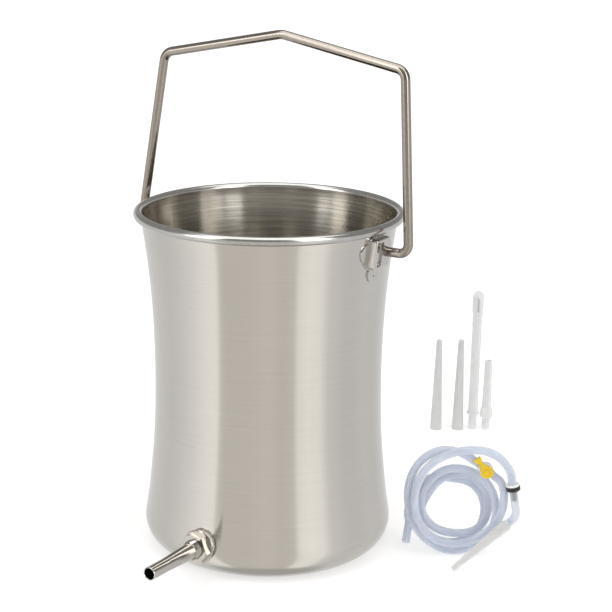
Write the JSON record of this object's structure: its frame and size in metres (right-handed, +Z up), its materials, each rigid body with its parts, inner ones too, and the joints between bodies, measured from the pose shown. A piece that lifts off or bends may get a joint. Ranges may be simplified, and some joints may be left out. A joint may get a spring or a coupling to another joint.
{
  "type": "gravity feed bucket kit",
  "caption": "Waisted stainless bucket with a swing bail handle and a threaded spigot near its base, with a coiled silicone hose, a stopcock, a check valve and push-on nozzles.",
  "frame": {"origin": "centre of the bucket base, on the floor", "axes": "+Z up; the two handle pivots lie along X; the spigot points along -Y; the hose and loose tips stand on the same floor at +X and +Y"},
  "size_m": [0.2138, 0.3352, 0.2716],
  "materials": {
    "brushed_steel": "fine circumferential brushing inside and out",
    "polished_steel": "polished stainless steel",
    "handle_steel": "drawn stainless wire, semi-bright",
    "gasket_silicone": "milky silicone",
    "hose_silicone": "translucent silicone with a cool tint",
    "clear_plastic": "clear moulded plastic",
    "yellow_plastic": "moulded yellow plastic",
    "white_plastic": "semi-translucent white plastic",
    "black_plastic": "moulded black plastic",
    "frosted_plastic": "frosted translucent plastic",
    "grey_plastic": "frosted light-grey plastic"
  },
  "bodies": {
    "root": {"bucket_shell": "brushed_steel", "ear_plate_right": "polished_steel", "ear_plate_left": "polished_steel", "ear_cover_right": "polished_steel", "ear_cover_left": "polished_steel", "spigot_tube": "polished_steel", "lock_nut": "polished_steel", "outer_washer": "polished_steel", "outer_gasket": "gasket_silicone", "inner_gasket": "gasket_silicone"},
    "handle": {"handle_bail": "handle_steel"},
    "hose_kit": {"hose_main": "hose_silicone", "hose_mid": "hose_silicone", "hose_end": "hose_silicone", "stopcock_body": "clear_plastic", "check_valve_inlet": "white_plastic", "check_valve_outlet": "black_plastic", "nozzle_connector": "clear_plastic", "fitted_nozzle": "frosted_plastic"},
    "stopcock_plug": {"stopcock_lever": "yellow_plastic"},
    "valve_disc": {"check_valve_disc": "gasket_silicone"},
    "cone_a": {"cone_tip_a": "grey_plastic"},
    "cone_b": {"cone_tip_b": "grey_plastic"},
    "nozzle_long": {"long_nozzle": "white_plastic"},
    "nozzle_short": {"short_nozzle": "white_plastic"}
  },
  "joints": [
    {"name": "handle_swing", "type": "hinge", "parent": "root", "child": "handle", "pos_m": [0, 0, 0.16832], "axis": [1, 0, 0], "range_deg": [-132, 144]},
    {"name": "hose_kit_lift", "type": "slide", "parent": "root", "child": "hose_kit", "axis": [0, 0, 1], "range_m": [0, 0.03]},
    {"name": "stopcock_turn", "type": "hinge", "parent": "hose_kit", "child": "stopcock_plug", "pos_m": [0.1125, 0.03544, 0.04965], "axis": [0.5, -0.866, 0], "range_deg": [0, 90]},
    {"name": "valve_disc_slide", "type": "slide", "parent": "hose_kit", "child": "valve_disc", "axis": [-0.1497, -0.0864, 0.9849], "range_m": [-0.0006, 0.00005]},
    {"name": "cone_tip_a_lift", "type": "slide", "parent": "root", "child": "cone_a", "axis": [0, 0, 1], "range_m": [0, 0.1]},
    {"name": "cone_tip_b_lift", "type": "slide", "parent": "root", "child": "cone_b", "axis": [0, 0, 1], "range_m": [0, 0.1]},
    {"name": "long_nozzle_lift", "type": "slide", "parent": "root", "child": "nozzle_long", "axis": [0, 0, 1], "range_m": [0, 0.1]},
    {"name": "short_nozzle_lift", "type": "slide", "parent": "root", "child": "nozzle_short", "axis": [0, 0, 1], "range_m": [0, 0.1]}
  ]
}
